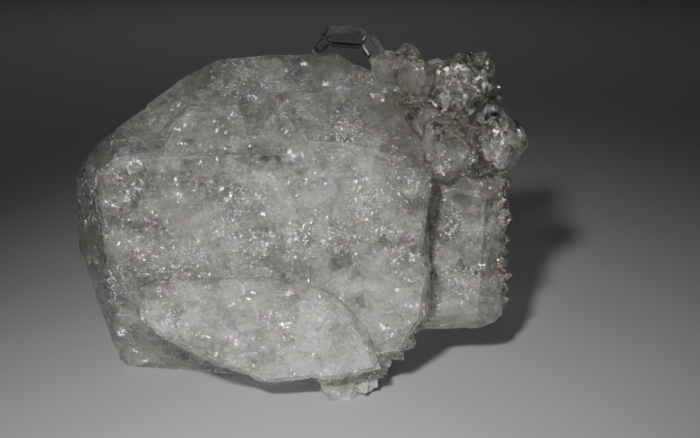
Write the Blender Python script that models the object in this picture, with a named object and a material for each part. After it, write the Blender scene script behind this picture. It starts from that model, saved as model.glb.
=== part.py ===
"""A cluster of quartz crystals of the Herkimer kind, grown together as one solid.

One large, many-faced crystal stands on its flat underside. Flat plates of later growth
stand proud of its front and back, a smaller crystal is grown on to its right side, clear
crystals crowd its upper right shoulder, and rows of tiny ones edge its right side.
+X is the viewer's right, +Y points away from the viewer and +Z up. The origin is on the
ground under the middle of the cluster. Every length below is in millimetres.
"""

import math
import random

import bmesh
import bpy
from mathutils import Matrix, Vector

MM = 0.001
NODE = "herkimer_cluster"

# Driving dimensions of the large crystal
WIDTH = 78.0
DEPTH = 60.0
HEIGHT = 72.0
LEFT = -50.0
FRONT = -26.0
CORE_BOX = ((LEFT, FRONT, 0.0), (LEFT + WIDTH, FRONT + DEPTH, HEIGHT))

# A face of a block: where it looks (azimuth from +X towards +Y, then elevation above the
# ground, in degrees) and a point that it passes through.
CORE_FACES = (
    (207, -1, (-49.5, 2.0, 36.0)),  # left, turned to the front
    (152, 2, (-49.5, 2.0, 36.0)),  # left, turned to the back
    (203, -15, (-49.2, 2.0, 26.6)),  # lower left
    (156, -17, (-49.2, 2.0, 26.6)),  # lower left, turned to the back
    (203, 30, (-47.4, 2.0, 47.4)),  # upper left, small
    (150, 30, (-47.4, 2.0, 47.4)),  # upper left, small, turned to the back
    (226, 42, (-38.2, 3.0, 56.4)),  # upper left, broad
    (128, 40, (-38.2, 3.0, 56.4)),  # upper left, broad, turned to the back
    (246, 58, (-26.0, 5.0, 67.4)),  # top left
    (106, 52, (-26.0, 5.0, 67.4)),  # top left, turned to the back
    (268, 64, (0.0, 6.0, 70.4)),  # top, sloping to the front
    (90, 56, (0.0, 6.0, 70.4)),  # top, sloping to the back
    (318, 60, (13.5, 5.0, 67.6)),  # top right
    (40, 54, (13.5, 5.0, 67.6)),  # top right, turned to the back
    (340, 38, (22.5, 2.0, 62.2)),  # upper right shoulder
    (20, 36, (22.5, 2.0, 62.2)),  # upper right shoulder, turned to the back
    (352, 3, (28.0, 0.0, 45.0)),  # right
    (344, -36, (15.5, -8.0, 0.6)),  # lower right
    (280, -46, (0.0, -7.0, 1.0)),  # front, under the overhang
    (258, -38, (-24.0, -2.2, 0.6)),  # front left, under the overhang
    (270, 5, (-6.0, -20.5, 36.0)),  # front
    (236, 2, (-45.0, -10.0, 36.0)),  # front left edge
    (93, 2, (0.0, 33.5, 34.0)),  # back
    (58, -4, (15.0, 29.0, 30.0)),  # back right
    (126, -3, (-32.0, 27.5, 30.0)),  # back left
    (90, -42, (0.0, 27.0, 6.0)),  # lower back
    (36, -34, (20.0, 20.0, 10.0)),  # lower back right
    (140, -36, (-36.0, 18.0, 6.0)),  # lower back left
)

# The second crystal, on the right side of the large one
SIDE_BOX = ((12.0, -9.0, 10.6), (44.6, 19.0, 45.4))
SIDE_FACES = (
    (0, 2, (43.4, 2.0, 28.0)),  # right
    (318, 2, (41.8, -4.4, 28.0)),  # right front edge
    (270, 7, (34.0, -7.8, 28.0)),  # front
    (250, 50, (32.0, -5.6, 43.4)),  # front left, above
    (278, 42, (37.0, -5.4, 43.4)),  # front, above
    (330, 44, (42.4, -2.0, 42.6)),  # front right, above
    (12, 60, (40.0, 4.0, 44.4)),  # right, above
    (88, 62, (36.0, 6.0, 45.4)),  # back, above
    (276, -48, (36.0, -5.2, 12.6)),  # front, below
    (350, -56, (42.6, 2.0, 12.2)),  # right, below
    (96, -50, (36.0, 14.0, 15.0)),  # back, below
    (42, 0, (42.0, 15.0, 28.0)),  # right back edge
    (92, 4, (34.0, 18.4, 28.0)),  # back
)

# The small block at the front that shares the weight
FOOT_BOX = ((-1.0, -20.5, 0.0), (14.0, -2.0, 12.0))
FOOT_FACES = (
    (200, -24, (3.6, -14.0, 0.4)),  # left
    (250, -14, (5.0, -19.4, 0.6)),  # front left
    (285, -12, (9.0, -19.8, 0.6)),  # front
    (330, -20, (12.6, -16.0, 0.6)),  # right front
)

# A plate of later growth: its outline in the X-Z plane, the Y of its front at the ground,
# how far its front leans back per millimetre of height, its thickness and its edge's chamfer.
PLATES = (
    {
        "name": "front_plate",
        "outline": (
            (-42.2, 51.0), (-38.0, 54.0), (-29.0, 55.0), (0.0, 56.0), (9.5, 56.0), (21.0, 52.4),
            (27.4, 50.0),
            (26.6, 42.0), (25.4, 33.6), (27.4, 30.4), (25.4, 19.5), (21.0, 12.0),
            (2.0, 9.0), (-20.0, 12.6), (-33.0, 18.0), (-40.5, 31.0),
        ),
        "front": -25.0, "lean": 0.07, "thickness": 15.0, "chamfer": 1.0,
    },
    {
        "name": "tall_flap",
        "outline": (
            (-28.0, 48.0), (-28.4, 59.0), (-24.0, 62.6), (-20.3, 63.6), (-12.8, 64.6),
            (-10.6, 60.6), (-9.0, 55.0), (-9.0, 48.0),
        ),
        "front": -24.0, "lean": 0.07, "thickness": 10.0, "chamfer": 0.8,
    },
    {
        "name": "pointed_flap",
        "outline": (
            (-7.4, 48.0), (-6.6, 58.0), (-3.6, 63.0), (-1.8, 62.4), (0.8, 57.4), (1.6, 48.0),
        ),
        "front": -22.4, "lean": 0.07, "thickness": 10.0, "chamfer": 0.7,
    },
    {
        "name": "lower_plate",
        "outline": (
            (-33.2, 27.4), (-28.0, 28.8), (-10.0, 29.2), (0.0, 28.0), (7.4, 25.6), (14.0, 18.0),
            (17.0, 9.6), (8.0, 7.4), (-7.6, 6.6), (-18.0, 10.6), (-28.2, 15.8), (-33.6, 20.4),
        ),
        "front": -28.2, "lean": 0.06, "thickness": 13.0, "chamfer": 1.5,
    },
    {
        "name": "back_plate",
        "outline": (
            (-31.0, 13.0), (-34.0, 24.0), (-30.0, 38.0), (-24.0, 47.0), (-12.0, 53.0), (3.0, 50.0),
            (10.0, 41.0), (12.0, 30.0), (7.0, 19.0), (-6.0, 12.0), (-18.0, 9.0),
        ),
        "front": 22.0, "lean": 0.0, "thickness": 13.6, "chamfer": 1.4,
    },
    {
        "name": "back_step",
        "outline": (
            (-26.0, 16.0), (-30.0, 27.0), (-25.0, 34.0), (-17.0, 38.0), (-11.0, 31.0), (-6.0, 27.0),
            (-2.0, 18.0), (-12.0, 12.4),
        ),
        "front": 25.0, "lean": 0.05, "thickness": 11.4, "chamfer": 1.2,
    },
    {
        "name": "back_upper_step",
        "outline": (
            (-6.0, 40.0), (-10.0, 56.0), (0.0, 60.0), (14.0, 58.0), (20.0, 48.0), (14.0, 38.0),
        ),
        "front": 12.0, "lean": -0.12, "thickness": 24.0, "chamfer": 1.4,
    },
)

# How steep quartz's main end faces are to its side faces' length, and its steeper ones
END_SLOPE = 51.8
STEEP_SLOPE = 74.0

# Crystals: where the middle is, the way the long axis points (azimuth, elevation), the turn
# about that axis, the radius across the corners, the length from tip to tip and the share of
# that length which the blunt ends leave.
CRYSTALS = (
    ("root", (28.0, 4.0, 57.0), (250, 62), 8, 9.8, 22.0, 0.9),
    ("round_clear", (42.2, 1.0, 52.6), (200, 82), 12, 7.3, 19.4, 0.86),
    ("wide_clear", (33.0, 3.0, 63.2), (4, -2), 24, 7.6, 19.6, 0.92),
    ("corner_clear", (36.8, 5.4, 66.2), (20, 40), 6, 6.6, 15.0, 0.72),
    ("cloudy", (30.2, -4.4, 52.4), (262, 40), 10, 8.2, 21.0, 0.78),
    ("cloudy_low", (25.0, -3.0, 57.4), (250, 40), 40, 5.4, 14.0, 0.8),
    ("cream_tall", (22.8, 4.0, 69.6), (60, 80), 10, 3.0, 9.6, 0.74),
    ("cream_left", (18.6, 4.0, 68.0), (170, 40), 25, 3.6, 11.0, 0.85),
    ("cream_wide", (25.0, 2.0, 65.6), (292, 60), 10, 4.9, 13.0, 0.76),
    ("cream_gap", (29.2, 4.4, 66.4), (20, 14), 30, 3.4, 11.0, 0.85),
    ("arch_beam", (9.6, 5.0, 74.3), (0, -4), 0, 2.35, 12.4, 0.95),
    ("arch_tip", (4.0, 4.8, 72.6), (180, -42), 15, 1.5, 5.6, 0.9),
    ("arch_leg", (15.4, 4.6, 71.6), (0, -58), 10, 2.1, 9.6, 0.95),
    ("bright_small", (41.4, 1.0, 62.4), (340, 60), 0, 2.0, 5.6, 0.85),
    ("neck", (37.0, -1.4, 48.0), (280, 74), 0, 5.0, 12.0, 0.9),
    ("back_large", (20.0, 24.0, 44.0), (52, 18), 10, 9.0, 26.0, 0.93),
    ("back_small", (8.0, 30.0, 57.0), (80, 40), 0, 5.0, 15.0, 0.96),
    ("back_low", (27.0, 20.0, 22.0), (40, -14), 24, 6.4, 19.0, 0.9),
    ("back_left", (-34.0, 22.0, 20.0), (135, 4), 15, 5.6, 16.0, 0.92),
)
BLUNT_TILT = 16.0

# Rows of tiny crystals: the line that they follow, the way they point, how many there are,
# their smallest and largest radius and how far they stray from the line.
ROWS = (
    ("lower_edge", ((13.0, -17.6, 2.2), (17.0, -13.0, 4.6), (22.0, -11.6, 10.6), (25.0, -13.6, 17.6)),
     (330, -28), 20, 1.2, 2.2, 1.1),
    ("foot_edge", ((6.0, -18.4, 2.0), (12.6, -16.6, 1.9), (15.4, -12.4, 2.2)), (300, -8), 8, 1.1, 2.0, 0.5),
    ("side_edge", ((42.6, 3.0, 42.6), (43.0, -2.4, 37.0), (43.0, 2.0, 31.0), (43.0, -2.4, 24.0),
                   (42.8, 2.0, 18.0), (41.8, -1.4, 14.4)), (350, 4), 16, 1.3, 2.7, 0.9),
    ("side_face", ((42.8, 6.0, 38.0), (43.0, 11.0, 32.0), (43.0, 6.0, 24.0), (42.6, 11.0, 18.0)),
     (4, 6), 12, 1.0, 2.1, 1.3),
    ("shoulder", ((22.0, -2.4, 62.0), (28.0, -3.0, 60.0), (34.0, -2.0, 58.6), (39.0, -1.0, 58.4)),
     (285, 40), 14, 0.8, 1.6, 1.2),
    ("top_ridge", ((17.0, 5.0, 68.4), (24.0, 6.0, 68.2), (30.0, 6.0, 66.4)), (80, 60), 9, 0.9, 1.7, 1.0),
    ("back_edge", ((24.0, 10.0, 13.0), (21.0, 18.0, 13.0), (12.0, 24.6, 12.0), (2.0, 27.0, 11.0)),
     (60, -20), 22, 1.0, 2.0, 1.4),
    ("back_shoulder", ((25.0, 11.0, 56.0), (21.0, 17.0, 56.0), (12.0, 22.0, 55.0)), (60, 30), 14, 1.0, 2.1, 1.4),
)
ROW_STRAY = 32.0
SEED = 11


def facing(azimuth, elevation):
    """The unit vector that looks that way."""
    turn, rise = math.radians(azimuth), math.radians(elevation)
    level = math.cos(rise)
    return Vector((math.cos(turn) * level, math.sin(turn) * level, math.sin(rise)))


def cut(shape, point, normal):
    """Takes off all of a convex shape that lies beyond a plane, and closes the cut."""
    everything = shape.verts[:] + shape.edges[:] + shape.faces[:]
    made = bmesh.ops.bisect_plane(
        shape, geom=everything, dist=1e-5, plane_co=point, plane_no=normal, clear_outer=True
    )
    rim = [item for item in made["geom_cut"] if isinstance(item, bmesh.types.BMEdge)]
    if rim:
        bmesh.ops.contextual_create(shape, geom=rim)


def piece(name, shape):
    """Makes an object of a shape drawn in millimetres."""
    bmesh.ops.scale(shape, vec=(MM, MM, MM), verts=shape.verts)
    bmesh.ops.recalc_face_normals(shape, faces=shape.faces)
    mesh = bpy.data.meshes.new(name)
    shape.to_mesh(mesh)
    shape.free()
    made = bpy.data.objects.new(name, mesh)
    bpy.context.scene.collection.objects.link(made)
    return made


def block(name, box, faces):
    """A box cut by one plane for each natural face."""
    low, high = Vector(box[0]), Vector(box[1])
    shape = bmesh.new()
    bmesh.ops.create_cube(shape, size=1.0)
    bmesh.ops.scale(shape, vec=high - low, verts=shape.verts)
    bmesh.ops.translate(shape, vec=(low + high) / 2, verts=shape.verts)
    for azimuth, elevation, point in faces:
        cut(shape, Vector(point), facing(azimuth, elevation))
    return piece(name, shape)


def plate(name, outline, front, lean, thickness, chamfer):
    """A flat plate of an outline, its outer rim chamfered on both sides."""
    shape = bmesh.new()
    rim = [shape.verts.new((x, front, z)) for x, z in outline]
    face = shape.faces.new(rim)
    grown = bmesh.ops.extrude_face_region(shape, geom=[face])["geom"]
    far = [item for item in grown if isinstance(item, bmesh.types.BMVert)]
    bmesh.ops.translate(shape, vec=(0.0, thickness, 0.0), verts=far)
    level = [edge for edge in shape.edges if abs(edge.verts[0].co.y - edge.verts[1].co.y) < chamfer]
    bmesh.ops.bevel(
        shape, geom=level, offset=chamfer, segments=1, profile=0.5, affect="EDGES", material=-1
    )
    for corner in shape.verts:
        corner.co.y += lean * corner.co.z
    return piece(name, shape)


def quartz(name, middle, axis, spin, radius, length, kept, chance):
    """A doubly ended quartz crystal: six side faces and six at each end.

    A kept share below one also gives it steeper faces at the shoulders and blunt tips.
    """
    apothem = radius * math.cos(math.radians(30))
    shape = bmesh.new()
    bmesh.ops.create_cube(shape, size=1.0)
    bmesh.ops.scale(shape, vec=(3 * radius, 3 * radius, 2 * length), verts=shape.verts)
    for side in range(6):
        turn = 60 * side
        reach = apothem * chance.uniform(0.9, 1.06)
        cut(shape, facing(turn, 0) * reach, facing(turn, 0))
        for end in (1, -1):
            # Larger and smaller end faces take turns, as the two rhombohedra of quartz do.
            larger = (side + (end < 0)) % 2
            tip = length / 2 * (chance.uniform(0.9, 0.95) if larger else chance.uniform(0.98, 1.03))
            slope = facing(turn, end * (90 - END_SLOPE))
            cut(shape, Vector((0, 0, end * tip)), slope)
            if kept < 1:
                steep = facing(turn, end * (90 - STEEP_SLOPE))
                level = tip - apothem * chance.uniform(0.5, 0.75) * math.tan(math.radians(END_SLOPE))
                cut(shape, Vector((0, 0, end * level)) + facing(turn, 0) * apothem * 0.86, steep)
    if kept < 1:
        for end in (90, -90):
            flat = facing(chance.uniform(0, 360), end + chance.uniform(-BLUNT_TILT, BLUNT_TILT))
            cut(shape, Vector((0, 0, math.copysign(length / 2 * kept, end))), flat)
    upright = facing(*axis).to_track_quat("Z", "Y").to_matrix().to_4x4()
    turned = upright @ Matrix.Rotation(math.radians(spin), 4, "Z")
    bmesh.ops.transform(shape, matrix=Matrix.Translation(middle) @ turned, verts=shape.verts)
    return piece(name, shape)


def along(line, share):
    """The point at that share of a line of straight runs."""
    place = share * (len(line) - 1)
    start = min(int(place), len(line) - 2)
    return Vector(line[start]).lerp(Vector(line[start + 1]), place - start)


def row(name, line, axis, count, smallest, largest, stray, chance):
    """Tiny crystals crowded along a line, each leaning its own way."""
    made = []
    for number in range(count):
        share = (number + chance.uniform(0.1, 0.9)) / count
        middle = along(line, share) + Vector([chance.uniform(-stray, stray) for _ in range(3)])
        lean = [angle + chance.uniform(-ROW_STRAY, ROW_STRAY) for angle in axis]
        radius = chance.uniform(smallest, largest)
        length = radius * chance.uniform(2.4, 3.2)
        label = f"{name}_{number + 1:02d}"
        made.append(quartz(label, middle, lean, chance.uniform(0, 60), radius, length, 1, chance))
    return made


def fuse(name, body, others):
    """Joins every shape to the body, as crystals that grew into each other."""
    group = bpy.data.collections.new("grown_on")
    for other in others:
        group.objects.link(other)
    join = body.modifiers.new("grown together", "BOOLEAN")
    join.operation = "UNION"
    join.operand_type = "COLLECTION"
    join.collection = group
    join.solver = "EXACT"
    graph = bpy.context.evaluated_depsgraph_get()
    whole = bpy.data.meshes.new_from_object(body.evaluated_get(graph))
    for used in [body, *others]:
        bpy.data.objects.remove(used)
    made = bpy.data.objects.new(name, whole)
    bpy.context.scene.collection.objects.link(made)
    return made


def stand_on_ground(cluster):
    """Puts the origin on the ground under the middle of the cluster."""
    corners = [Vector(corner) for corner in cluster.bound_box]
    middle = (corners[0] + corners[6]) / 2
    cluster.data.transform(Matrix.Translation((-middle.x, -middle.y, -corners[0].z)))


def clear_quartz():
    """Colourless quartz, faintly milky."""
    made = bpy.data.materials.new("quartz")
    made.use_nodes = True
    shader = made.node_tree.nodes["Principled BSDF"]
    shader.inputs["Base Color"].default_value = (0.86, 0.86, 0.85, 1.0)
    shader.inputs["Roughness"].default_value = 0.12
    shader.inputs["Metallic"].default_value = 0.0
    shader.inputs["IOR"].default_value = 1.544
    shader.inputs["Transmission Weight"].default_value = 0.8
    return made


def main():
    for leftover in list(bpy.data.objects):
        bpy.data.objects.remove(leftover)
    chance = random.Random(SEED)
    core = block("core", CORE_BOX, CORE_FACES)
    grown = [block("side_crystal", SIDE_BOX, SIDE_FACES), block("foot", FOOT_BOX, FOOT_FACES)]
    grown += [plate(**sizes) for sizes in PLATES]
    grown += [quartz(*sizes, chance) for sizes in CRYSTALS]
    for sizes in ROWS:
        grown += row(*sizes, chance)
    cluster = fuse(NODE, core, grown)
    stand_on_ground(cluster)
    cluster.data.materials.clear()
    cluster.data.materials.append(clear_quartz())


main()
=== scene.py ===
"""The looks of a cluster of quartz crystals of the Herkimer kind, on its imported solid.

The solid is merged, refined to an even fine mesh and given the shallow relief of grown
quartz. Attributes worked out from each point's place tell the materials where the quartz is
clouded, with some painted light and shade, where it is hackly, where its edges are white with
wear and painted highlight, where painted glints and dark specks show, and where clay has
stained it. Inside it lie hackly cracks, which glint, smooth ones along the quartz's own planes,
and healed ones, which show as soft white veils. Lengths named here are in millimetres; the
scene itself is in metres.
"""

import math
import random
from itertools import accumulate

import bmesh
import bpy
from mathutils import Matrix, Vector, noise
from mathutils.bvhtree import BVHTree
from mathutils.geometry import intersect_point_line


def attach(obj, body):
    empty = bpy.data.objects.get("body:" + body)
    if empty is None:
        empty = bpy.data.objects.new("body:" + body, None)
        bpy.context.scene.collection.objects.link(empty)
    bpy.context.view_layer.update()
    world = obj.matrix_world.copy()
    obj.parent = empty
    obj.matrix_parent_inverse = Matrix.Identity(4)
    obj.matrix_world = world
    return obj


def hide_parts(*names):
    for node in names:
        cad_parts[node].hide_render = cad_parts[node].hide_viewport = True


MM = 0.001
NODE = "herkimer_cluster"

# The one seed that the places of the cracks and veils, and the wander of the facets, come from
SEED = 5

# The refined surface: corners closer than this are one, faces this many degrees from level with
# each other are one flat face, the longest edge, and the angle past which an edge is crisp
MERGED = 0.002
FLAT_ANGLE = 0.6
LONGEST_EDGE = 1.0
CRISP_ANGLE = 14.0

# What the surface tells its materials at each point: how milky it is, with some painted light and shade in
# that, how hackly and stained it is, how sharp an edge is there, how many painted glint specks show, and how
# far it lies above the milky front's upper edge
LAYERS = ("cloud", "hackly", "stain", "edge", "painted_glint_share", "above_front")

# Quartz bends light by this much
QUARTZ_IOR = 1.544

# The low facets that the faces are broken into: how wide, and how far they lean
FACET_SIZE = 8.5
FACET_SLOPE = 0.11

# The shoulder's clear crystals grow above this level and above a line that falls to the right:
# where the line starts, how high, and how steeply it falls
SHOULDER_LOW = 46.5
SHOULDER_LINE = (14.0, 70.0, 1.43)

# Five of the shoulder's crystals are milky: middle and radius
MILKY_ONES = (
    ((30.5, -9.7, 52.5), 8.2), ((25.4, -8.3, 57.5), 5.6), ((22.8, -1.3, 69.6), 4.6),
    ((18.8, -0.9, 68.0), 5.0), ((25.4, -3.3, 65.7), 5.6),
)

# The arch grows above its own level, to the right of this; the druse is on the far right
ARCH_LEFT, ARCH_LOW = 3.0, 70.0
DRUSE_LEFT = 44.2

# Crystals grown on the back, clearer than the body: middle and radius
BACK_ONES = (
    ((20.4, 18.7, 44.1), 13.0), ((8.4, 24.7, 57.1), 8.0),
    ((27.4, 14.7, 22.1), 10.0), ((-33.6, 16.7, 20.1), 9.0),
)

# The smaller crystal on the right side: x where it meets the large one, as a soft border
SMALLER_ONE = (27.0, 29.0)

# The flaps' faces lean back by this much, from this y on
FLAP_LEAN, FLAP_FOOT = 0.287, -26.0

# The upper edge of the milky front: the plate, the tall flap, the pointed flap and the plate again.
# Each point is x and the height along the flaps' lean. Between the two heights under it, each place
# is told how far it is from the edge, up to the last length
FRONT_EDGE = (
    (-60.0, 50.0), (-35.9, 55.4), (-27.1, 56.9), (-25.6, 59.7), (-22.0, 65.7), (-18.9, 66.5), (-12.4, 66.9),
    (-10.3, 63.5), (-9.5, 58.6), (-8.7, 58.0), (-5.6, 63.5), (-3.2, 66.7), (0.5, 60.8), (2.0, 57.6),
    (9.7, 57.2), (16.9, 55.4), (21.0, 54.0), (27.1, 53.1), (60.0, 50.0),
)
EDGE_LOW, EDGE_HIGH = 47.0, 70.0
EDGE_REACH = 3.0

# The way that smooth cracks face, along one of the quartz's own planes: forward and a little up
SPLIT = Vector((-0.06, -0.94, 0.33))

# Where many open cracks lie together and sparkle: x, z and radius, in front of a y
SPARKLING = (
    (-36.3, 50.1, 3.0), (-26.0, 32.0, 4.5), (-31.3, 38.1, 2.0), (-26.7, 19.3, 4.5), (-9.4, 46.6, 4.0),
    (-12.8, 43.0, 2.5), (-10.3, 35.0, 3.0), (0.5, 38.6, 2.5), (8.9, 37.4, 3.5), (12.8, 48.6, 2.2),
    (13.8, 44.2, 3.2), (25.0, 49.6, 3.2), (-16.0, 39.0, 2.0), (20.0, 33.0, 2.5), (3.0, 20.0, 4.0),
    (-45.0, 40.0, 5.0), (-43.0, 24.0, 4.0), (42.0, 52.0, 5.0), (33.0, 66.0, 4.0), (32.0, 36.0, 3.0),
    (36.0, 23.0, 4.0), (39.0, 33.0, 2.5), (-2.0, 64.0, 3.5), (10.0, 60.0, 4.0), (-14.0, 66.0, 4.5),
    (14.0, 68.0, 3.0), (22.0, 55.0, 3.0),
)
SPARKLING_BACK = 8.0

# How near to the surface a sheet inside the quartz may come, and the share of its drawn depth that
# must be left between its middle and any other face
SHEET_CLEARANCE = 0.25
KEPT_DEPTH = 0.8

# Camera: what it looks at, how high it stands, how far and how wide it sees there
TARGET = Vector((10.75, -5.26, 34.97)) * MM
CAMERA_RISE = 16.0
CAMERA_REACH = 420.0 * MM
VIEW_WIDTH = 153.44 * MM
SENSOR_WIDTH = 36.0

# The stage's board reaches this far each way, in metres
BOARD_REACH = 2.5

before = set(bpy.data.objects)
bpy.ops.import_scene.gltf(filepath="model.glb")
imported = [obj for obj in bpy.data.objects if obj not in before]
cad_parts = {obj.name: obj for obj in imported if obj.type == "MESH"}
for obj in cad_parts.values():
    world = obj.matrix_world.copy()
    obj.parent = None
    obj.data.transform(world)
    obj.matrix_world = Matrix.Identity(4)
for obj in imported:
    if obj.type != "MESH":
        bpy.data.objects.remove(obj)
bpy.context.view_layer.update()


# ---------------------------------------------------------------- materials


def colour(hex_value):
    """Turns an sRGB hex colour into Blender's linear one."""
    parts = [int(hex_value[place:place + 2], 16) / 255 for place in (1, 3, 5)]
    linear = [part / 12.92 if part <= 0.04045 else ((part + 0.055) / 1.055) ** 2.4 for part in parts]
    return (*linear, 1.0)


def add(tree, kind, settings, links):
    """Adds a node with its settings; an input gets a plain value, a node's output or a node's first one."""
    made = tree.nodes.new("ShaderNode" + kind)
    for name, value in settings.items():
        setattr(made, name, value)
    for name, value in links.items():
        if isinstance(value, bpy.types.Node):
            value = next(output for output in value.outputs if output.enabled)
        if isinstance(value, bpy.types.NodeSocket):
            tree.links.new(value, made.inputs[name])
        else:
            made.inputs[name].default_value = value
    return made


def new_material(name):
    """A new material with its nodes, its shader and its place in the object's own millimetres."""
    material = bpy.data.materials.new(name)
    material.use_nodes = True
    tree = material.node_tree
    metres = add(tree, "TexCoord", {}, {}).outputs["Object"]
    place = add(tree, "VectorMath", {"operation": "SCALE"}, {0: metres, "Scale": 1 / MM})
    return material, tree, tree.nodes["Principled BSDF"], place


def overlaid(tree, *masks):
    """Lays masks and plain shares over each other: each lets through its share of those before it."""
    made = masks[0]
    for mask in masks[1:]:
        made = add(tree, "Math", {"operation": "MULTIPLY"}, {0: made, 1: mask})
    return made


def cloudiness(tree, place, size, detail, low, high):
    """Soft noise of that size in millimetres, spread from low to high."""
    links = {"Vector": place, "Scale": 1 / size, "Detail": detail, "Roughness": 0.62}
    soft = add(tree, "TexNoise", {}, links)
    return add(
        tree, "MapRange", {}, {"Value": soft, "From Min": 0.3, "From Max": 0.7, "To Min": low, "To Max": high}
    )


def threads(tree, place, size, width):
    """Thin curved lines, the edges of old cracks: noise of that size, where it passes its middle."""
    waves = add(tree, "TexNoise", {}, {"Vector": place, "Scale": 1 / size, "Detail": 2.0, "Distortion": 0.8})
    off = add(tree, "Math", {"operation": "SUBTRACT"}, {0: waves, 1: 0.5})
    away = add(tree, "Math", {"operation": "ABSOLUTE"}, {0: off})
    half = width / size * 0.5
    return add(tree, "MapRange", {}, {"Value": away, "From Max": half, "To Min": 1.0, "To Max": 0.0})


def leaning_cells(tree, place, size, slope):
    """The height in millimetres of flat cells of that size that each lean their own way."""
    cells = add(tree, "TexVoronoi", {"feature": "F1"}, {"Vector": place, "Scale": 1 / size})
    away = add(tree, "VectorMath", {"operation": "SUBTRACT"}, {0: place, 1: cells.outputs["Position"]})
    chosen = {0: cells.outputs["Color"], 1: (0.5, 0.5, 0.5)}
    lean = add(tree, "VectorMath", {"operation": "SUBTRACT"}, chosen)
    rise = add(tree, "VectorMath", {"operation": "DOT_PRODUCT"}, {0: away, 1: lean}).outputs["Value"]
    return add(tree, "Math", {"operation": "MULTIPLY"}, {0: rise, 1: slope})


def give_relief(tree, shader, height):
    """Gives a shader the relief of a height in millimetres."""
    bump = add(tree, "Bump", {}, {"Strength": 1.0, "Distance": MM, "Height": height})
    tree.links.new(bump.outputs[0], shader.inputs["Normal"])


def let_lamps_in(tree, shader):
    """Lets the lamps' light reach what is inside the quartz, though some is lost on the way.

    Little is lost between a crack and the face above it, and much where the light passes the
    whole crystal, so its shadow is still dark.
    """
    is_lamp = add(tree, "LightPath", {}, {}).outputs["Is Shadow Ray"]
    from_inside = add(tree, "NewGeometry", {}, {}).outputs["Backfacing"]
    tint = {"Factor": from_inside, "A": colour("#404040"), "B": colour("#D8D8D8")}
    passed = add(tree, "BsdfTransparent", {}, {"Color": add(tree, "Mix", {"data_type": "RGBA"}, tint)})
    both = add(tree, "MixShader", {}, {0: is_lamp, 1: shader, 2: passed})
    tree.links.new(both.outputs[0], tree.nodes["Material Output"].inputs["Surface"])


def milkiness(tree, place, bent, drawn, grain, cloud, above):
    """How milky the quartz looks point by point: its cloud in patches and wisps, over broken faces."""
    # Patches 9 mm across, and wisps of 3 mm drawn out up to the right
    patches = cloudiness(tree, place, size=9.0, detail=2.0, low=0.78, high=1.06)
    wisps = cloudiness(tree, drawn, size=3.2, detail=4.0, low=0.68, high=1.2)

    # A clear dark band just above the milky front's edge, and milkier again higher up
    start = {"Value": above, "From Min": -0.1, "From Max": 0.2, "To Min": 1.0, "To Max": 0.52}
    band = add(tree, "MapRange", {}, start)
    end = {"Value": above, "From Min": 0.8, "From Max": 3.0, "To Min": 1.0, "To Max": 1.85}
    higher = add(tree, "MapRange", {}, end)

    # Broken faces 5 mm and 2 mm across, each lighter or darker than the next
    broken = add(tree, "TexVoronoi", {"feature": "F1"}, {"Vector": bent, "Scale": 1 / 5.0}).outputs["Color"]
    small = add(tree, "TexVoronoi", {"feature": "F1"}, {"Vector": bent, "Scale": 1 / 2.0}).outputs["Color"]
    broken_tone = add(tree, "MapRange", {}, {"Value": broken, "To Min": 0.72, "To Max": 1.22})
    small_tone = add(tree, "MapRange", {}, {"Value": small, "To Min": 0.8, "To Max": 1.18})
    return overlaid(tree, cloud, patches, wisps, grain, band, higher, broken_tone, small_tone)


def bright_lines(tree, place, bent, drawn, hackly, edge, above):
    """White lines: threads, the rifts between broken faces, crisp edges white partly with wear and partly
    with painted highlight, and a painted highlight along the milky front's edge.
    """
    thread = overlaid(tree, threads(tree, drawn, size=2.6, width=0.16), hackly, 0.3)

    # Rifts along the borders of the 5 mm faces, here and there
    between = add(tree, "TexVoronoi", {"feature": "DISTANCE_TO_EDGE"}, {"Vector": bent, "Scale": 1 / 5.0})
    border = add(tree, "MapRange", {}, {"Value": between, "From Max": 0.035, "To Min": 0.9, "To Max": 0.0})
    here = cloudiness(tree, place, size=3.0, detail=3.0, low=-0.8, high=0.9)
    rifts = overlaid(tree, border, here, hackly)

    # Crisp edges, white in places: partly wear, partly a painted highlight where the edges catch the light
    sharp = add(tree, "MapRange", {}, {"Value": edge, "From Min": 0.65, "From Max": 0.95, "To Max": 0.9})
    wear_and_painted_highlight = overlaid(tree, sharp, cloudiness(tree, place, size=1.6, detail=2.0, low=-0.1, high=1.0))

    # A painted highlight along the milky front's edge, from half a millimetre under it up to it
    start = add(tree, "MapRange", {}, {"Value": above, "From Min": -0.5, "From Max": -0.1, "To Max": 0.5})
    end = add(tree, "MapRange", {}, {"Value": above, "From Max": 0.2, "To Min": 1.0, "To Max": 0.0})
    painted_rim_highlight = overlaid(tree, start, end, cloudiness(tree, place, size=2.5, detail=2.0, low=-0.3, high=1.0))

    inner = add(tree, "Math", {"operation": "ADD"}, {0: thread, 1: rifts})
    outer = add(tree, "Math", {"operation": "ADD"}, {0: wear_and_painted_highlight, 1: painted_rim_highlight})
    return add(tree, "Math", {"operation": "ADD"}, {0: inner, 1: outer})


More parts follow.
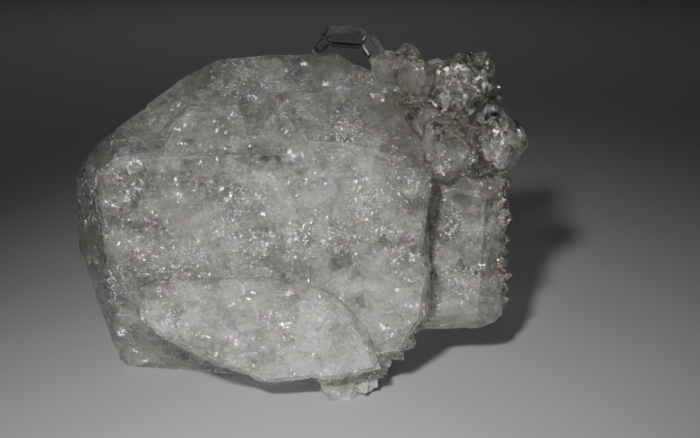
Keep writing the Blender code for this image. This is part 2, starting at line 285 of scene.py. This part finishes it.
def painted_glint_specks(tree, bent, painted_glint_share):
    """Painted glints on cells of about 0.4 mm: how white each painted glint is, as if it caught the lamp, and
    how dark each painted dark speck is, as if turned away from it.
    """
    chip = add(tree, "TexVoronoi", {"feature": "F1"}, {"Vector": bent, "Scale": 1 / 0.36})
    kinds = add(tree, "SeparateColor", {}, {"Color": chip.outputs["Color"]})
    often = add(tree, "MapRange", {}, {"Value": painted_glint_share, "To Min": -0.01, "To Max": 0.085})

    lit = add(tree, "Math", {"operation": "ADD"}, {0: kinds.outputs["Red"], 1: often})
    chosen = add(tree, "MapRange", {}, {"Value": lit, "From Min": 1.0, "From Max": 1.03})
    strength = add(tree, "MapRange", {}, {"Value": kinds.outputs["Blue"], "To Min": 0.35, "To Max": 1.2})
    painted_glint = overlaid(tree, chosen, strength)

    dark_speck_pick = add(tree, "Math", {"operation": "ADD"}, {0: kinds.outputs["Green"], 1: often})
    dark = add(tree, "MapRange", {}, {"Value": dark_speck_pick, "From Min": 1.0, "From Max": 1.1, "To Max": -0.3})
    return painted_glint, dark


def milky_quartz():
    """Quartz grown fast, full of tiny bubbles and cracks: a grey glow under bright hackly faces."""
    material, tree, shader, place = new_material("quartz_milky")
    cloud, hackly, stain, edge, painted_glint_share, above = (
        add(tree, "Attribute", {"attribute_name": layer}, {}).outputs["Fac"] for layer in LAYERS
    )
    upward = {"Vector": place, "Rotation": (0.0, 0.6, 0.3), "Scale": (0.55, 1.0, 1.2)}
    drawn = add(tree, "Mapping", {}, upward)
    wander = add(tree, "TexNoise", {}, {"Vector": place, "Scale": 1 / 1.5, "Detail": 1.0}).outputs["Color"]
    bent = add(tree, "VectorMath", {}, {0: place, 1: wander})
    grain = cloudiness(tree, place, size=0.5, detail=2.0, low=0.85, high=1.15)

    veiled = milkiness(tree, place, bent, drawn, grain, cloud, above)
    lines = bright_lines(tree, place, bent, drawn, hackly, edge, above)
    # Painted highlights and shade: specks painted white as if they caught the lamp, and dark as if turned
    # away from it
    painted_glint, dark = painted_glint_specks(tree, bent, painted_glint_share)
    lined = add(tree, "Math", {"operation": "ADD"}, {0: veiled, 1: lines})
    with_painted_dark_specks = add(tree, "Math", {"operation": "ADD", "use_clamp": True}, {0: lined, 1: dark})
    density = add(tree, "Math", {"operation": "ADD", "use_clamp": True}, {0: with_painted_dark_specks, 1: painted_glint})

    # Hackly facets of 0.9 mm on ones of 3.7 mm, each leaning its own way
    uneven = cloudiness(tree, place, size=2.4, detail=1.0, low=0.3, high=2.0)
    fine = overlaid(tree, leaning_cells(tree, place, size=0.9, slope=0.45), uneven)
    broad = leaning_cells(tree, place, size=3.7, slope=0.2)
    facets = add(tree, "Math", {"operation": "ADD"}, {0: fine, 1: broad})
    give_relief(tree, shader, overlaid(tree, facets, hackly))

    # Near white where it is milky or carries painted glints and highlights, smoky where it is clear or
    # carries painted dark specks, warm brown where clay has stained it
    shades = {"Factor": density, "A": colour("#BDBDBA"), "B": colour("#F3F3F2")}
    shaded = add(tree, "Mix", {"data_type": "RGBA"}, shades)
    clay = {"Factor": overlaid(tree, stain, grain), "A": shaded, "B": colour("#8F7A5A")}
    stained = add(tree, "Mix", {"data_type": "RGBA"}, clay)
    tree.links.new(stained.outputs["Result"], shader.inputs["Base Color"])

    # The milkier, the less is seen through it and the duller its face; a painted glint speck hides all
    deep = add(tree, "MapRange", {}, {"Value": density, "To Min": 1.0, "To Max": 0.6})
    unhidden = add(tree, "MapRange", {}, {"Value": painted_glint, "To Min": 1.0, "To Max": 0.0})
    tree.links.new(overlaid(tree, deep, unhidden).outputs[0], shader.inputs["Transmission Weight"])
    dulled = add(tree, "MapRange", {}, {"Value": density, "To Min": 0.03, "To Max": 0.12})
    tree.links.new(dulled.outputs[0], shader.inputs["Roughness"])
    shader.inputs["IOR"].default_value = QUARTZ_IOR
    let_lamps_in(tree, shader)
    return material


def clear_quartz():
    """Quartz grown slowly, the Herkimer kind: water clear, its faces mirror bright and barely etched."""
    material, tree, shader, place = new_material("quartz_water_clear")
    stain = add(tree, "Attribute", {"attribute_name": "stain"}, {}).outputs["Fac"]
    give_relief(tree, shader, leaning_cells(tree, place, size=3.0, slope=0.03))
    clay = overlaid(tree, stain, cloudiness(tree, place, size=0.8, detail=4.0, low=0.0, high=1.1))
    tints = {"Factor": clay, "A": colour("#FAFAF8"), "B": colour("#B49C78")}
    tinted = add(tree, "Mix", {"data_type": "RGBA"}, tints)
    tree.links.new(tinted.outputs["Result"], shader.inputs["Base Color"])
    dulled = add(tree, "MapRange", {}, {"Value": clay, "To Min": 0.02, "To Max": 0.3})
    tree.links.new(dulled.outputs[0], shader.inputs["Roughness"])
    shader.inputs["Transmission Weight"].default_value = 1.0
    shader.inputs["IOR"].default_value = QUARTZ_IOR
    let_lamps_in(tree, shader)
    return material


def crack_film(name, slope):
    """An open crack in quartz: a film of air, silver and faintly coloured where it catches light.

    The more its facets slope, the more it breaks up into small glints.
    """
    material, tree, shader, place = new_material(name)
    torn = cloudiness(tree, place, size=1.1, detail=3.0, low=-0.6, high=1.3)
    give_relief(tree, shader, leaning_cells(tree, place, size=0.7, slope=1.3 * slope))
    whole = add(tree, "MapRange", {}, {"Value": torn, "To Max": 0.8})
    tree.links.new(whole.outputs[0], shader.inputs["Alpha"])
    hues = add(tree, "TexNoise", {}, {"Vector": place, "Scale": 1 / 2.0, "Detail": 0.0}).outputs["Color"]
    sheen = add(tree, "Mix", {"data_type": "RGBA"}, {"Factor": 0.5, "A": colour("#F4F4F2"), "B": hues})
    tree.links.new(sheen.outputs["Result"], shader.inputs["Base Color"])
    shader.inputs["Metallic"].default_value = 0.6
    shader.inputs["Roughness"].default_value = 0.22
    return material


def healed_veil():
    """A healed crack: a sheet of tiny bubbles, which the eye sees as a soft white wisp."""
    material, tree, shader, place = new_material("healed_crack_veil")
    thickness = add(tree, "Attribute", {"attribute_name": "thickness"}, {}).outputs["Fac"]
    wisps = cloudiness(tree, place, size=4.0, detail=4.0, low=0.15, high=1.0)
    specks = cloudiness(tree, place, size=0.7, detail=2.0, low=0.1, high=1.0)
    shown = overlaid(tree, wisps, specks, thickness, 1.15)
    whole = add(tree, "MapRange", {}, {"Value": shown, "To Min": 0.02, "To Max": 0.8})
    tree.links.new(whole.outputs[0], shader.inputs["Alpha"])
    shader.inputs["Base Color"].default_value = colour("#E9E9E6")
    shader.inputs["Roughness"].default_value = 0.5
    return material


def pale_board():
    """The stage: smooth pale board, matt enough that no lamp glares on it."""
    material, tree, shader, place = new_material("pale_board")
    fibre = cloudiness(tree, place, size=1.5, detail=3.0, low=0.8, high=0.9)
    tree.links.new(fibre.outputs[0], shader.inputs["Roughness"])
    shader.inputs["Base Color"].default_value = colour("#B8B9BB")
    shader.inputs["Specular IOR Level"].default_value = 0.08
    return material


# ---------------------------------------------------------------- what the quartz is like, place by place


def eased(low, high, value):
    """How far a value is from low to high, kept within 0 to 1 and eased at both ends."""
    share = min(max((value - low) / (high - low), 0.0), 1.0)
    return share * share * (3 - 2 * share)


def up_the_flaps(y, z):
    """A place's height measured along the lean of the flaps' faces."""
    return z + FLAP_LEAN * (y - FLAP_FOOT)


def above_front(x, y, z):
    """How many millimetres a place lies above the milky front's upper edge; under it is negative."""
    place = Vector((x, up_the_flaps(y, z)))
    nearest = EDGE_REACH
    if on_shoulder(x, z) or place.y < EDGE_LOW:
        return -nearest
    if place.y > EDGE_HIGH:
        return nearest
    for start, end in zip(FRONT_EDGE, FRONT_EDGE[1:]):
        _, share = intersect_point_line(place, Vector(start), Vector(end))
        on_edge = Vector(start).lerp(Vector(end), min(max(share, 0.0), 1.0))
        nearest = min(nearest, (place - on_edge).length)
        if start[0] <= x < end[0]:
            over = place.y > on_edge.y
    return nearest if over else -nearest


def on_flaps(x, y, z):
    """How surely a place is on the two flaps that rise from the front plate's upper edge."""
    return (1 - eased(-0.5, 0.5, above_front(x, y, z))) * eased(56.0, 58.0, up_the_flaps(y, z))


def near_one(place, crystals):
    """How surely a place is on one of the crystals, each given as a middle and a radius."""
    return max(
        1 - eased(radius - 1.5, radius + 0.5, (place - Vector(middle)).length) for middle, radius in crystals
    )


def on_shoulder(x, z):
    """Whether a place is on the upper right shoulder, where the small crystals grow."""
    start, top, fall = SHOULDER_LINE
    return x > start and z > max(SHOULDER_LOW, top - fall * (x - start))


def on_arch(x, z):
    """Whether a place is on the thin crystal that arches over the top, or as high as it."""
    return x > ARCH_LEFT and z > ARCH_LOW


def is_clear(x, y, z):
    """Whether a place is on the clear crystals of the shoulder, the druse or the arch."""
    shoulder = on_shoulder(x, z) and near_one(Vector((x, y, z)), MILKY_ONES) < 0.5
    return shoulder or x > DRUSE_LEFT or on_arch(x, z)


def clouding(x, y, z):
    """How clouded the quartz is at a place, with some painted light and shade in it: 0 is water clear, 1 is
    milky.
    """
    patch = noise.fractal(Vector((x + 40, y, z)) * 0.13, 0.8, 2.1, 3)
    streak = noise.fractal(Vector((x * 0.07, y * 0.07, z * 0.13)), 0.9, 2.2, 4)
    front = 1 - eased(-23.0, -20.0, y)
    left_edge = (1 - eased(-43.0, -39.0, x + patch)) * (1 - 0.5 * front)
    side = 0.2 * eased(*SMALLER_ONE, x)
    # Painted light: milkier, and so lighter, below 6 to 9 mm, which brightens the foot and the recess where
    # the plates shade them from the lamp
    low = 0.2 * (1 - eased(6.0, 9.0, z))
    # Painted shade: less milky, and so darker, towards the left, where the light falls off
    painted_falloff_to_left = 0.18 * eased(-40.0, 25.0, x) - 0.16
    body = 0.7 + low + painted_falloff_to_left - 0.6 * max(0.8 * left_edge, side)
    low_plate = 0.22 * (1 - eased(-31.6, -30.4, y))
    # Painted shade: the groove just above the lower plate's top edge is made less milky, and so darker
    painted_shade_over_low_plate = 0.2 * front * eased(-31.0, -30.0, y) * max(1 - abs(z - 31.0) / 3.0, 0.0)
    windows = 0.24 * eased(0.05, 0.5, noise.fractal(Vector((x - 9, y, z * 1.3)) * 0.16, 0.7, 2.0, 3))
    mottled = 0.24 * streak + 0.14 * patch - windows
    calm = 1 - 0.7 * on_flaps(x, y, z)
    clearer = 0.45 * near_one(Vector((x, y, z)), BACK_ONES)
    return min(max(body + low_plate - painted_shade_over_low_plate - clearer + mottled * calm, 0.0), 1.0)


def hackliness(x, y, z):
    """How hackly the surface is: 0 is a flat bright face, 1 is covered in small leaning facets."""
    patch = noise.fractal(Vector((x, y + 70, z)) * 0.09, 0.8, 2.1, 3)
    recess = 1 - eased(5.0, 8.0, z)
    side = 0.85 * eased(27.0, 30.0, x)
    return min(max(0.75 + 0.5 * patch - 0.65 * max(on_flaps(x, y, z), recess, side), 0.08), 1.0)


def staining(x, y, z, groove):
    """How much clay is left on the quartz: most in the grooves of the shoulder and the right side."""
    patch = noise.fractal(Vector((x, y, z + 90)) * 0.16, 0.8, 2.1, 4)
    shoulder = eased(14.0, 20.0, x) * eased(48.0, 56.0, z) * (1 - 0.5 * eased(66.0, 72.0, z))
    right_edge = eased(23.0, 27.0, x)
    sheltered = max(shoulder, 0.3 * right_edge, 0.1)
    left = sheltered * (0.35 + 0.4 * patch) + 0.8 * groove * max(shoulder, right_edge, 0.1)
    return min(max(left + 0.08 * patch, 0.0), 1.0)


def sparkle(x, y, z):
    """How thickly open cracks lie at a place: in streaks everywhere, and in the front's sparkling spots."""
    streak = noise.fractal(Vector((x * 0.12, y * 0.16, z * 0.2)), 0.8, 2.2, 3)
    spots = 0.0
    if y < SPARKLING_BACK:
        spots = max(
            1 - math.hypot(x - middle, z - level) / (1.5 * radius) for middle, level, radius in SPARKLING
        )
    thick = min(max(0.12 + 0.7 * max(streak, 0.0) + 1.6 * max(spots, 0.0), 0.0), 1.0)
    return 0.12 * thick if is_clear(x, y, z) else thick


def splitting(x, y, z):
    """How thickly smooth cracks lie along the quartz's own planes: most in the shoulder's crystals."""
    at_back = y > 10.0
    left_of_shoulder = x < SHOULDER_LINE[0] and z > ARCH_LOW
    if at_back or left_of_shoulder:
        return 0.05
    return 0.25 * (1.0 if is_clear(x, y, z) else sparkle(x, y, z) * (1 - on_flaps(x, y, z)))


def veiling(x, y, z):
    """How thickly healed cracks lie at a place: as the clouding, and few in the clear crystals."""
    return 0.2 if is_clear(x, y, z) else clouding(x, y, z)


def relief(x, y, z, cloud):
    """How far the surface lies under the crystal's true face: low growth steps and leaning facets."""
    place = Vector((x, y, z))
    if on_shoulder(x, z) or is_clear(x, y, z):
        return 0.0
    rise = noise.fractal(place * 0.045, 0.8, 2.0, 3) * 5 + 0.12 * x
    step = rise - math.floor(rise)
    steps = 0.22 * eased(0.0, 0.25, step) * (1 - step)
    bent = place + 1.5 * noise.noise_vector(place * 0.2)
    middle = noise.voronoi(bent / FACET_SIZE)[1][0]
    facets = 0.12 + FACET_SLOPE * (bent - middle * FACET_SIZE).dot(noise.cell_vector(middle * 50))
    grown = max(near_one(place, BACK_ONES), 0.6 * eased(*SMALLER_ONE, x))
    return max((steps + facets) * (0.25 + 0.75 * cloud) * (1 - grown), 0.0)


# ---------------------------------------------------------------- pieces


def merged_copy(node):
    """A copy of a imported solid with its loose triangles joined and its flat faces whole."""
    shape = bmesh.new()
    shape.from_mesh(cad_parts[node].data)
    bmesh.ops.remove_doubles(shape, verts=shape.verts, dist=MERGED * MM)
    bmesh.ops.dissolve_limit(
        shape, angle_limit=math.radians(FLAT_ANGLE), verts=shape.verts, edges=shape.edges,
        use_dissolve_boundaries=False,
    )
    bmesh.ops.triangulate(shape, faces=shape.faces, quad_method="BEAUTY", ngon_method="BEAUTY")
    return shape


def refine(shape, longest):
    """Divides the long edges until the mesh is evenly fine; a crisp edge's halves stay crisp."""
    long_edges = [edge for edge in shape.edges if edge.calc_length() > longest]
    while long_edges:
        bmesh.ops.subdivide_edges(shape, edges=long_edges, cuts=1, use_single_edge=True)
        wide = [face for face in shape.faces if len(face.verts) > 3]
        bmesh.ops.triangulate(shape, faces=wide, quad_method="BEAUTY", ngon_method="BEAUTY")
        long_edges = [edge for edge in shape.edges if edge.calc_length() > longest]


def piece(name, shape, *materials):
    """Makes a piece of a shape and rides it on the cluster."""
    mesh = bpy.data.meshes.new(name)
    shape.to_mesh(mesh)
    shape.free()
    for material in materials:
        mesh.materials.append(material)
    made = bpy.data.objects.new(name, mesh)
    bpy.context.scene.collection.objects.link(made)
    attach(made, "root")
    return made


def cluster_surface():
    """The whole cluster's surface, in place of the plain solid."""
    shape = merged_copy(NODE)
    for edge in shape.edges:
        edge.smooth = edge.calc_face_angle(0.0) < math.radians(CRISP_ANGLE)
    refine(shape, LONGEST_EDGE * MM)
    layers = {name: shape.verts.layers.float.new(name) for name in LAYERS}
    shape.normal_update()
    moves = []
    for corner in shape.verts:
        place = corner.co / MM
        cloud = clouding(*place)
        crisp = [edge.calc_face_angle_signed(0.0) for edge in corner.link_edges if not edge.smooth]
        groove = max((eased(0.2, 0.6, -turn) for turn in crisp), default=0.0)
        corner[layers["cloud"]] = cloud
        corner[layers["hackly"]] = hackliness(*place)
        corner[layers["stain"]] = staining(*place, groove)
        # Where the material paints glint specks: thick where open cracks are, none on the flaps
        corner[layers["painted_glint_share"]] = sparkle(*place) * (1 - on_flaps(*place))
        corner[layers["above_front"]] = above_front(*place)
        corner[layers["edge"]] = max((eased(0.3, 0.8, turn) for turn in crisp), default=0.0)
        under = 0.0 if place.z < 0.3 else relief(*place, cloud)
        moves.append(corner.normal * under * MM)
    for corner, move in zip(shape.verts, moves):
        corner.co -= move
    for face in shape.faces:
        face.smooth = True
        face.material_index = 1 if is_clear(*(face.calc_center_median() / MM)) else 0
    made = piece("cluster_surface", shape, milky_quartz(), clear_quartz())
    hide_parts(NODE)
    return made


def measured(made):
    """What placing things under a piece's surface needs: its solid, its faces and their running area."""
    shape = bmesh.new()
    shape.from_mesh(made.data)
    solid = BVHTree.FromBMesh(shape)
    shape.free()
    faces = list(made.data.polygons)
    return {"solid": solid, "faces": faces, "areas": list(accumulate(face.area for face in faces))}


def cut_ribbon(count, fineness):
    """A ribbon of quads cut into square sheets; gives the shape and each sheet's corners, row by row."""
    shape = bmesh.new()
    shape.verts.layers.float.new("thickness")
    side = fineness + 1
    bmesh.ops.create_grid(shape, x_segments=fineness, y_segments=count * side - 1, size=1.0)
    gaps = [face for index, face in enumerate(shape.faces) if index // fineness % side == fineness]
    corners = list(shape.verts)
    sheets = [corners[first:first + side * side] for first in range(0, len(corners), side * side)]
    bmesh.ops.delete(shape, geom=gaps, context="FACES")
    return shape, sheets


def within(solid, place):
    """Whether a place is inside the cluster: straight above it, the first face met looks up."""
    facing = solid.ray_cast(place, Vector((0, 0, 1)))[1]
    return facing is not None and facing.z > 0


def reachable(solid, start, end):
    """Whether nothing lies between a place inside the cluster and another, well inside it too."""
    reach = end - start
    uncrossed = solid.ray_cast(start, reach, reach.length)[0] is None
    well_inside = solid.find_nearest(end)[3] >= SHEET_CLEARANCE * MM and within(solid, end)
    return uncrossed and well_inside


def place_under(surface, common, depths, chance):
    """Draws a place inside the cluster, oftener where common says so, and the facing of its surface there."""
    while True:
        face = chance.choices(surface["faces"], cum_weights=surface["areas"])[0]
        depth = chance.uniform(*depths) * MM
        place = face.center - face.normal * depth
        if chance.random() > common(*(face.center / MM)):
            continue
        if within(surface["solid"], place) and surface["solid"].find_nearest(place)[3] > KEPT_DEPTH * depth:
            return place, face.normal


def inside_sheets(name, common, surface, material, chance, count, fineness, sizes, depths, lean, facing=None):
    """Small curved sheets inside the cluster; none of them breaks its surface.

    Each lies under a place on the surface, at one of the depths. It faces as the surface does
    there, or the given way, and leans up to so many degrees from that. Its grid is so many
    quads fine each way.
    """
    shape, sheets = cut_ribbon(count, fineness)
    thickness = shape.verts.layers.float["thickness"]
    lost = []
    for index, corners in enumerate(sheets):
        middle, outward = place_under(surface, common, depths, chance)
        thick = chance.uniform(0.15, 1.0)
        size = (sizes[0] + (sizes[1] - sizes[0]) * chance.random() ** 2) * MM
        narrow = chance.uniform(0.3, 0.85)
        bend = chance.uniform(-0.3, 0.3)
        tilt = Vector([chance.gauss(0, 1) for _ in range(3)]).normalized() * math.tan(math.radians(lean))
        turned = ((facing or outward) + tilt * chance.random()).to_track_quat("Z", "Y")
        spin = Matrix.Rotation(chance.uniform(0, math.tau), 3, "Z")
        for number, corner in enumerate(corners):
            u = number % (fineness + 1) / fineness * 2 - 1
            v = number // (fineness + 1) / fineness * 2 - 1
            ragged = 1 + 0.35 * noise.noise(Vector((u, v, index * 7.7)) * 2)
            rise = bend * (u * u + v * v) + 0.15 * noise.noise(Vector((u, v, index * 3.1)) * 1.4)
            flat = spin @ Vector((u * ragged, v * ragged * narrow, rise))
            corner.co = middle + turned @ flat * size
            corner[thickness] = thick
            if not reachable(surface["solid"], middle, corner.co):
                lost.append(corner)
    bmesh.ops.delete(shape, geom=lost, context="VERTS")
    bmesh.ops.delete(shape, geom=[corner for corner in shape.verts if not corner.link_faces], context="VERTS")
    for face in shape.faces:
        face.smooth = True
    return piece(name, shape, material)


def cluster():
    """The cluster's surface, and the cracks and veils inside it."""
    chance = random.Random(SEED)
    noise.seed_set(SEED)
    surface = measured(cluster_surface())
    inside_sheets(
        "crack_films", sparkle, surface, crack_film("crack_film", slope=0.6), chance,
        count=12500, fineness=2, sizes=(0.25, 1.5), depths=(0.4, 5.0), lean=50,
    )
    inside_sheets(
        "smooth_cracks", splitting, surface, crack_film("crack_film_smooth", slope=0.22), chance,
        count=380, fineness=4, sizes=(0.9, 3.0), depths=(0.7, 5.0), lean=24, facing=SPLIT,
    )
    inside_sheets(
        "healed_veils", veiling, surface, healed_veil(), chance,
        count=320, fineness=8, sizes=(2.5, 9.0), depths=(0.8, 9.0), lean=60,
    )


# ---------------------------------------------------------------- stage, lights and camera


def floor():
    """A plain pale board, which fades from the light as it runs back."""
    shape = bmesh.new()
    bmesh.ops.create_grid(shape, x_segments=1, y_segments=1, size=BOARD_REACH)
    mesh = bpy.data.meshes.new("floor")
    shape.to_mesh(mesh)
    shape.free()
    mesh.materials.append(pale_board())
    made = bpy.data.objects.new("floor", mesh)
    bpy.context.scene.collection.objects.link(made)


def soft_light(name, place, aim, size, power, spread, tint):
    """A square soft box; its grid keeps the light within the spread, in degrees."""
    lamp = bpy.data.lights.new(name, "AREA")
    lamp.size = size * MM
    lamp.energy = power
    lamp.spread = math.radians(spread)
    lamp.color = colour(tint)[:3]
    made = bpy.data.objects.new(name, lamp)
    made.location = Vector(place) * MM
    made.rotation_euler = (Vector(place) - Vector(aim)).to_track_quat("Z", "Y").to_euler()
    bpy.context.scene.collection.objects.link(made)


def studio():
    """A small gridded lamp in front and a little left, dim soft boxes around and a dim room."""
    soft_light("key", (-71, -500, 300), (-2, -84, 0), size=36, power=0.122, spread=29, tint="#FFFDF9")
    soft_light("overhead", (120, 420, 600), (0, 250, 0), size=260, power=0.035, spread=180, tint="#F2F5FA")
    soft_light("back_card", (-30, 460, 230), (0, 20, 30), size=260, power=0.075, spread=180, tint="#F7F8FA")
    soft_light("left_card", (-430, -60, 190), (0, 0, 45), size=125, power=0.045, spread=150, tint="#F7F8FA")
    soft_light("right_card", (380, -160, 210), (20, 0, 50), size=115, power=0.04, spread=150, tint="#F7F8FA")
    world = bpy.data.worlds.new("studio")
    world.use_nodes = True
    background = world.node_tree.nodes["Background"]
    background.inputs["Color"].default_value = colour("#8C9092")
    background.inputs["Strength"].default_value = 0.06
    bpy.context.scene.world = world


def camera():
    """A long lens, a little above the cluster and square to its front."""
    rise = math.radians(CAMERA_RISE)
    back = Vector((0.0, -math.cos(rise), math.sin(rise)))
    lens = bpy.data.cameras.new("camera")
    lens.sensor_width = SENSOR_WIDTH
    lens.lens = SENSOR_WIDTH * CAMERA_REACH / VIEW_WIDTH
    lens.clip_start = 20 * MM
    made = bpy.data.objects.new("camera", lens)
    made.location = TARGET + back * CAMERA_REACH
    made.rotation_euler = back.to_track_quat("Z", "Y").to_euler()
    bpy.context.scene.collection.objects.link(made)
    bpy.context.scene.camera = made


camera()
floor()
studio()
cluster()
